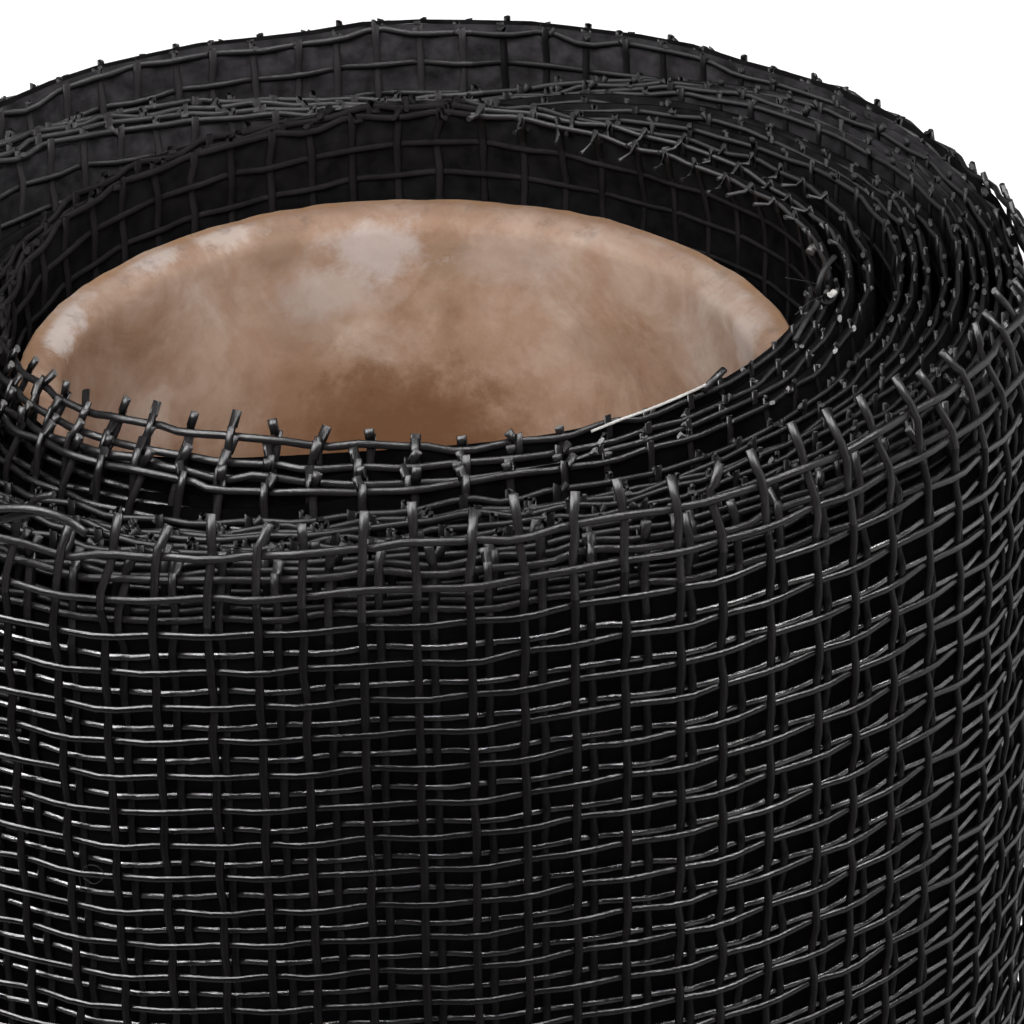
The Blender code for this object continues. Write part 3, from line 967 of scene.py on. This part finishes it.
looseParts = []
for stops, half, steps, finish in frayed:
    path = (smoothPath(stops, steps) + (axisX, axisY, winding["edgeLevel"])) * mm
    slot = looseShape["finishes"].index(finish)
    outward = np.broadcast_to(np.array(looseShape["outward"]), path.shape)
    looseParts.append(tubes(path[None], outward[None], half, half * looseShape["thin"], looseShape["sides"],
                            looseShape["wearAndPaintedLight"], 0.0, slot))
looseEnds = joinedMesh("looseEnds", looseParts, [yarnLooks[name] for name in looseShape["finishes"]])

for piece in (*woven, woundCloth, looseEnds):
    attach(piece, "root")
    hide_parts("screen_roll")

# The cardboard core
cardCore = {
    "segments": 200,
    "plies": ((0.30, -0.035), (0.30, 0.02), (1.10, 0.0)),  # mm: width and rise of each layer on the rim
    "facing": 0.9,  # how straight up or down the normals of the end faces point, at least
    "cornerRound": 0.20,
    "innerRound": 0.95,
    "roundSteps": 6,
    "rimReach": 0.3,  # mm below the rim in which the corners' edges are found
    "cornerReach": 0.05,
    "rowsDown": 64,
    "bumps": ((3.4, 0.22), (1.0, 0.10)),  # mm: size and height
    "bumpMiddle": 0.6,
    "smoothAngle": 50.0,
    "rimShadeAndSpots": (13.6, 14.0),  # mm from the axis, where the rim's painted shade and its dark spots come in
    "tornTone": (14.6, 14.95),
    "relief": 0.0003,  # m
    "bump": 0.4,
    "roughness": 0.85,
    "specular": 0.06,
}


def chooseFaces(test):
    # Selects the faces of the mesh being edited whose middle and normal pass the test
    bpy.ops.mesh.select_mode(type="FACE")
    shape = bmesh.from_edit_mesh(bpy.context.object.data)
    for face in shape.faces:
        face.select_set(bool(test(face.calc_center_median(), face.normal)))
    bmesh.update_edit_mesh(bpy.context.object.data)


def chooseEdges(test):
    # Selects the edges whose two ends pass the test
    bpy.ops.mesh.select_mode(type="EDGE")
    shape = bmesh.from_edit_mesh(bpy.context.object.data)
    for edge in shape.edges:
        edge.select_set(all(test(corner.co) for corner in edge.verts))
    bmesh.update_edit_mesh(bpy.context.object.data)


def makeCore():
    rim = coreBox[1][2]
    middle = ((coreBox[0][0] + coreBox[1][0]) / 2, (coreBox[0][1] + coreBox[1][1]) / 2)
    wall = winding["coreWall"] * mm
    bpy.ops.mesh.primitive_cylinder_add(vertices=cardCore["segments"], radius=winding["coreRadius"] * mm,
                                        depth=rim, location=(*middle, rim / 2))
    piece = bpy.context.object
    piece.name = "cardboardCore"
    bpy.ops.object.transform_apply(location=True, rotation=True, scale=True)
    bpy.ops.object.mode_set(mode="EDIT")
    bpy.ops.mesh.select_all(action="DESELECT")
    chooseFaces(lambda place, normal: normal.z > cardCore["facing"])
    for wide, rise in cardCore["plies"]:
        bpy.ops.mesh.inset(thickness=wide * mm, depth=rise * mm)
    bpy.ops.mesh.delete(type="FACE")
    chooseFaces(lambda place, normal: normal.z < -cardCore["facing"])
    bpy.ops.mesh.inset(thickness=wall, depth=0)
    bpy.ops.mesh.delete(type="FACE")
    bpy.ops.mesh.select_mode(type="EDGE")
    bpy.ops.mesh.select_all(action="DESELECT")
    bpy.ops.mesh.select_non_manifold()
    bpy.ops.mesh.bridge_edge_loops(number_cuts=cardCore["rowsDown"])
    outer = winding["coreRadius"] * mm
    for corner, offset in ((outer, cardCore["cornerRound"]), (outer - wall, cardCore["innerRound"])):
        def atCorner(place):
            out = math.hypot(place.x - middle[0], place.y - middle[1])
            nearRim = place.z > rim - cardCore["rimReach"] * mm
            return abs(out - corner) < cardCore["cornerReach"] * mm and nearRim

        chooseEdges(atCorner)
        bpy.ops.mesh.bevel(offset=offset * mm, segments=cardCore["roundSteps"])
    bpy.ops.mesh.select_all(action="SELECT")
    bpy.ops.mesh.normals_make_consistent(inside=False)
    bpy.ops.object.mode_set(mode="OBJECT")
    for size, height in cardCore["bumps"]:
        blisters = bpy.data.textures.new("paperBlisters", "CLOUDS")
        blisters.noise_scale = size * mm
        swell = piece.modifiers.new("blisters", "DISPLACE")
        swell.texture = blisters
        swell.texture_coords = "LOCAL"
        swell.strength = height * mm
        swell.mid_level = cardCore["bumpMiddle"]
        bpy.ops.object.modifier_apply(modifier="blisters")
    bpy.ops.object.shade_smooth_by_angle(angle=math.radians(cardCore["smoothAngle"]))
    return piece


# Patches of the paper: brown stains, pale patches, and low on the far wall a dark brown that is partly a
# stain and partly painted shade deep in the bore; place from the core's axis and size in mm, colour,
# raggedness of their edge, and strength
cardPatches = (
    ((-4.5, 12.6, 88.5), (2.6, 2.5, 2.2), (0.30, 0.20, 0.14), 1.2, 0.6),
    ((1.2, 13.6, 91.0), (1.6, 1.6, 1.3), (0.31, 0.21, 0.14), 1.2, 0.6),
    ((-5.7, 12.4, 92.0), (1.5, 1.5, 1.5), (0.27, 0.17, 0.11), 1.0, 0.7),
    ((-1.6, 13.4, 91.3), (3.0, 3.0, 1.8), (0.64, 0.58, 0.56), 1.9, 0.55),
    ((-3.2, 13.0, 89.8), (3.2, 3.0, 1.6), (0.56, 0.49, 0.46), 1.9, 0.4),
    ((4.2, 13.0, 91.2), (3.0, 2.5, 1.6), (0.56, 0.47, 0.42), 1.6, 0.35),
    # partly a stain, partly painted shade deeper in the bore
    ((-1.8, 13.4, 81.2), (10.2, 5.4, 7.2), (0.25, 0.142, 0.084), 1.0, 0.95),
    ((-0.8, 13.4, 80.6), (6.4, 4.0, 6.0), (0.145, 0.066, 0.030), 1.1, 0.8),
    ((7.8, 11.3, 87.8), (2.2, 2.2, 1.5), (0.28, 0.175, 0.11), 1.2, 0.5),
    ((-13.9, 4.4, 93.0), (1.4, 3.4, 0.9), (0.66, 0.60, 0.57), 2.6, 0.7),
    ((-10.6, 10.0, 93.0), (1.6, 1.6, 0.7), (0.66, 0.59, 0.55), 2.8, 0.65),
    ((-7.9, 12.0, 93.0), (1.9, 1.4, 0.7), (0.66, 0.58, 0.53), 2.8, 0.65),
    ((13.4, 3.3, 92.0), (1.4, 2.2, 1.6), (0.66, 0.58, 0.53), 1.7, 0.6),
)

# Colours of the paper, its noises with scale, detail, roughness and distortion, where they set in, and how
# strongly
cardTones = {
    "ground": ((0.32, (0.320, 0.203, 0.134)), (0.44, (0.415, 0.283, 0.206)), (0.55, (0.470, 0.335, 0.258)),
               (0.70, (0.575, 0.467, 0.396))),
    "fibres": (0.60, 0.50, 0.43),
    "blotches": (0.86, 0.79, 0.74),
    # painted shade: multiplies the rim, which faces the lamps above, darker
    "rim": (0.80, 0.77, 0.76),
    "darkRimSpots": (0.12, 0.10, 0.09),
    "torn": (0.30, 0.165, 0.085),
}
cardNoise = {
    "unevenEdge": (480, 7.0, 0.74),
    "mottle": (150, 6.0, 0.62, 0.8),
    "fibres": (2600, 3.0, 0.7),
    "blotches": (420, 5.0, 0.6, 0.5),
    "darkRimSpots": (900, 4.0, 0.7),
    "torn": (700,),
    "relief": (330, 4.0, 0.55),
}
cardStops = {
    "fibres": ((0.5, 0.0), (0.8, 1.0)),
    "blotches": ((0.42, 1.0), (0.60, 0.0)),
    "patch": ((0.5, 1.0), (1.0, 0.0)),
    "darkRimSpots": ((0.54, 0.0), (0.66, 1.0)),
    "torn": ((0.3, 0.4), (0.6, 1.0)),
}
cardShares = {
    "fibres": 0.12,
    "darkRimSpots": 0.35,
    "torn": 0.8,
    "fibreRelief": 0.12,
}


def cardboardMaterial():
    # Mottled paper: a tan ground, pale patches near the rim, dark brown lower down that is partly a stain and
    # partly painted shade, fine fibres, a rim darkened as painted shade, and dark spots on it
    material, shader = newMaterial("brownCardboard")
    tree = material.node_tree
    where = addNode(tree, "ShaderNodeTexCoord").outputs["Object"]

    def noise(scale, detail=4.0, roughness=0.6, distortion=0.0):
        node = addNode(tree, "ShaderNodeTexNoise", Scale=scale, Detail=detail, Roughness=roughness,
                       Distortion=distortion)
        tree.links.new(where, node.inputs["Vector"])
        return node.outputs["Fac"]

    def blend(under, over, factor, kind="MIX"):
        node = addNode(tree, "ShaderNodeMix", data_type="RGBA", blend_type=kind)
        for value, name in ((factor, "Factor"), (under, "A"), (over, "B")):
            if isinstance(value, bpy.types.NodeSocket):
                tree.links.new(value, node.inputs[name])
            elif name == "Factor":
                node.inputs[name].default_value = value
            else:
                node.inputs[name].default_value = (*value, 1.0)
        return node.outputs["Result"]

    def calculate(kind, first, second, clamp=False):
        node = addNode(tree, "ShaderNodeMath", operation=kind, use_clamp=clamp)
        for value, slot in ((first, 0), (second, 1)):
            if isinstance(value, bpy.types.NodeSocket):
                tree.links.new(value, node.inputs[slot])
            else:
                node.inputs[slot].default_value = value
        return node.outputs[0]

    unevenEdge = noise(*cardNoise["unevenEdge"])

    def nearTo(place, size, ragged):
        # 1 at a place on the core, fading to 0 at its size, with a ragged edge
        mapping = addNode(tree, "ShaderNodeMapping", vector_type="TEXTURE")
        mapping.inputs["Location"].default_value = (
            (place[0] + coreMiddle[0]) * mm, (place[1] + coreMiddle[1]) * mm, place[2] * mm)
        mapping.inputs["Scale"].default_value = tuple(v * mm for v in size)
        tree.links.new(where, mapping.inputs["Vector"])
        length = addNode(tree, "ShaderNodeVectorMath", operation="LENGTH")
        tree.links.new(mapping.outputs[0], length.inputs[0])
        spread = calculate("MULTIPLY_ADD", unevenEdge, ragged)
        spread.node.inputs[2].default_value = -ragged / 2
        total = calculate("ADD", length.outputs["Value"], spread)
        return rampNode(tree, total, cardStops["patch"])

    def between(value, low, high):
        node = addNode(tree, "ShaderNodeMapRange")
        node.inputs["From Min"].default_value = low * mm
        node.inputs["From Max"].default_value = high * mm
        tree.links.new(value, node.inputs["Value"])
        return node.outputs[0]

    flat = addNode(tree, "ShaderNodeMapping")
    flat.inputs["Location"].default_value = (-coreMiddle[0] * mm, -coreMiddle[1] * mm, 0)
    flat.inputs["Scale"].default_value = (1, 1, 0)
    tree.links.new(where, flat.inputs["Vector"])
    fromAxis = addNode(tree, "ShaderNodeVectorMath", operation="LENGTH")
    tree.links.new(flat.outputs[0], fromAxis.inputs[0])
    fromAxis = fromAxis.outputs["Value"]

    colour = rampNode(tree, noise(*cardNoise["mottle"]), cardTones["ground"])
    fibres = noise(*cardNoise["fibres"])
    paleFibres = calculate("MULTIPLY", rampNode(tree, fibres, cardStops["fibres"]), cardShares["fibres"])
    colour = blend(colour, cardTones["fibres"], paleFibres)
    blotches = rampNode(tree, noise(*cardNoise["blotches"]), cardStops["blotches"])
    colour = blend(colour, cardTones["blotches"], blotches, "MULTIPLY")
    for place, size, tone, ragged, share in cardPatches:
        colour = blend(colour, tone, calculate("MULTIPLY", nearTo(place, size, ragged), share))
    # Painted shade: the rim is darkened against the light from above; the dark spots go only there
    rimShare = between(fromAxis, *cardCore["rimShadeAndSpots"])
    colour = blend(colour, cardTones["rim"], rimShare, "MULTIPLY")
    # grey-dark spots on the rim
    specks = rampNode(tree, noise(*cardNoise["darkRimSpots"]), cardStops["darkRimSpots"])
    darkRimSpots = calculate("MULTIPLY", specks, cardShares["darkRimSpots"])
    colour = blend(colour, cardTones["darkRimSpots"], calculate("MULTIPLY", darkRimSpots, rimShare))
    raggedness = rampNode(tree, noise(*cardNoise["torn"]), cardStops["torn"])
    tornEdge = calculate("MULTIPLY", between(fromAxis, *cardCore["tornTone"]), raggedness)
    colour = blend(colour, cardTones["torn"], calculate("MULTIPLY", tornEdge, cardShares["torn"]))
    tree.links.new(colour, shader.inputs["Base Color"])
    shader.inputs["Roughness"].default_value = cardCore["roughness"]
    shader.inputs["Specular IOR Level"].default_value = cardCore["specular"]
    fibreRelief = calculate("MULTIPLY", fibres, cardShares["fibreRelief"])
    relief = calculate("ADD", noise(*cardNoise["relief"]), fibreRelief)
    raised = addNode(tree, "ShaderNodeBump", Strength=cardCore["bump"], Distance=cardCore["relief"])
    tree.links.new(relief, raised.inputs["Height"])
    tree.links.new(raised.outputs[0], shader.inputs["Normal"])
    return material


cardboardCore = makeCore()
cardboardCore.data.materials.clear()
cardboardCore.data.materials.append(cardboardMaterial())
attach(cardboardCore, "root")
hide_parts("core_tube")
print("cardboardCore stands")


# The studio, in metres
studio = {
    "floorSize": 6.0,
    "floorTone": 0.86,
    "floorGlow": 0.3,
    "floorRoughness": 0.9,
    "cardSize": 2.0,
    "cardHeight": 0.003,
    "cardReach": 0.2,  # the card's tone changes from this far on the left to this far on the right
    "cardTones": ((0.1, 0.05), (0.5, 0.09), (0.75, 0.24), (1.0, 0.80)),
    "seenTone": 0.93,
    "aroundTone": (0.5, 0.52, 0.55),
    "aroundStrength": 0.08,
}

# Lamps: place, aim, direction of the width, size, power, and what sees them
mouth = (0, 0, 0.09)
lamps = {
    "backdropLight": ((0.0, 1.0, 0.42), (0, 0, 0.08), (1, 0, 0), (2.2, 0.9), 13.0, ("diffuse",)),
    "frontBox": ((-0.05, -0.40, 0.50), mouth, (1, 0, 0), (0.60, 0.40), 5.2, ("diffuse",)),
    "leftStrip": ((-0.34, -0.03, 0.52), mouth, (-0.38, 0.0, -0.30), (0.48, 0.34), 11.5, ("glossy",)),
    "rightStrip": ((0.207, -0.03, 0.65), mouth, (0.186, 0, -0.072), (0.20, 0.34), 7.5, ("glossy",)),
    "rightBox": ((0.75, 0.25, 0.35), mouth, (0, 1, 0), (0.6, 0.6), 2.2, ("diffuse", "glossy")),
}


def areaLight(name, place, aim, along, size, power, seenBy):
    # A rectangular lamp that faces its aim, its width lying along the given direction
    light = bpy.data.lights.new(name, "AREA")
    light.shape = "RECTANGLE"
    light.size, light.size_y = size
    light.energy = power
    lamp = bpy.data.objects.new(name, light)
    bpy.context.scene.collection.objects.link(lamp)
    back = (Vector(place) - Vector(aim)).normalized()
    across = (Vector(along) - back * Vector(along).dot(back)).normalized()
    upward = back.cross(across)
    turned = Matrix([[across[i], upward[i], back[i]] for i in range(3)]).to_4x4()
    lamp.matrix_world = Matrix.Translation(place) @ turned
    lamp.visible_camera = False
    lamp.visible_diffuse = "diffuse" in seenBy
    lamp.visible_glossy = "glossy" in seenBy


def stagePlane(name, size, height):
    bpy.ops.mesh.primitive_plane_add(size=size, location=(0, 0, height))
    plane = bpy.context.object
    plane.name = name
    material, shader = newMaterial(name)
    plane.data.materials.append(material)
    return plane, shader


floor, floorShader = stagePlane("paleFloor", studio["floorSize"], 0)
floorShader.inputs["Base Color"].default_value = (*[studio["floorTone"]] * 3, 1)
floorShader.inputs["Roughness"].default_value = studio["floorRoughness"]
floorShader.inputs["Emission Color"].default_value = (1, 1, 1, 1)
floorShader.inputs["Emission Strength"].default_value = studio["floorGlow"]
floor.visible_glossy = False  # the dark studio in front shows in the glossy yarns instead

# What the glossy yarns see of the ground: dark on the left, dim in front and pale behind on the right
groundCard, cardShader = stagePlane("groundCard", studio["cardSize"], studio["cardHeight"])
cardTree = groundCard.data.materials[0].node_tree
cardShader.inputs["Base Color"].default_value = (0, 0, 0, 1)
cardPlace = addNode(cardTree, "ShaderNodeTexCoord")
cardAcross = addNode(cardTree, "ShaderNodeSeparateXYZ")
cardTree.links.new(cardPlace.outputs["Object"], cardAcross.inputs[0])
cardShare = addNode(cardTree, "ShaderNodeMapRange")
cardShare.inputs["From Min"].default_value = -studio["cardReach"]
cardShare.inputs["From Max"].default_value = studio["cardReach"]
cardTree.links.new(cardAcross.outputs["X"], cardShare.inputs["Value"])
cardTone = rampNode(cardTree, cardShare.outputs[0], studio["cardTones"])
cardTree.links.new(cardTone, cardShader.inputs["Emission Color"])
cardShader.inputs["Emission Strength"].default_value = 1.0
groundCard.visible_camera = False
groundCard.visible_diffuse = False
groundCard.visible_transmission = False
groundCard.visible_shadow = False

for name, lamp in lamps.items():
    areaLight(name, *lamp)
print("studio stands,", len(lamps), "lamps")

world = bpy.data.worlds.new("paleStudio")
bpy.context.scene.world = world
world.use_nodes = True
worldTree = world.node_tree
seen = worldTree.nodes["Background"]
seen.inputs["Color"].default_value = (*[studio["seenTone"]] * 3, 1)
around = addNode(worldTree, "ShaderNodeBackground", Color=(*studio["aroundTone"], 1),
                 Strength=studio["aroundStrength"])
chooser = addNode(worldTree, "ShaderNodeMixShader")
isCamera = addNode(worldTree, "ShaderNodeLightPath")
worldTree.links.new(isCamera.outputs["Is Camera Ray"], chooser.inputs[0])
worldTree.links.new(around.outputs[0], chooser.inputs[1])
worldTree.links.new(seen.outputs[0], chooser.inputs[2])
worldTree.links.new(chooser.outputs[0], worldTree.nodes["World Output"].inputs[0])

lensData = bpy.data.cameras.new("photoCamera")
photoCamera = bpy.data.objects.new("photoCamera", lensData)
bpy.context.scene.collection.objects.link(photoCamera)
bpy.context.scene.camera = photoCamera
lensData.lens = camera["lens"]
lensData.sensor_width = camera["sensor"]
lensData.clip_start, lensData.clip_end = camera["clip"]
rise = math.radians(camera["elevation"])
back = np.array([0, -math.cos(rise), math.sin(rise)])
right = np.array([1.0, 0, 0])
up = np.cross(back, right)
lean = math.radians(camera["roll"])
rightLeaned = math.cos(lean) * right + math.sin(lean) * up
upLeaned = -math.sin(lean) * right + math.cos(lean) * up
eye = np.array(camera["aim"]) + (axisX, axisY, 0) + back * camera["distance"]
photoCamera.matrix_world = Matrix.Translation(eye * mm) @ Matrix(
    [[rightLeaned[i], upLeaned[i], back[i]] for i in range(3)]).to_4x4()
bpy.context.scene.view_settings.view_transform = "Standard"
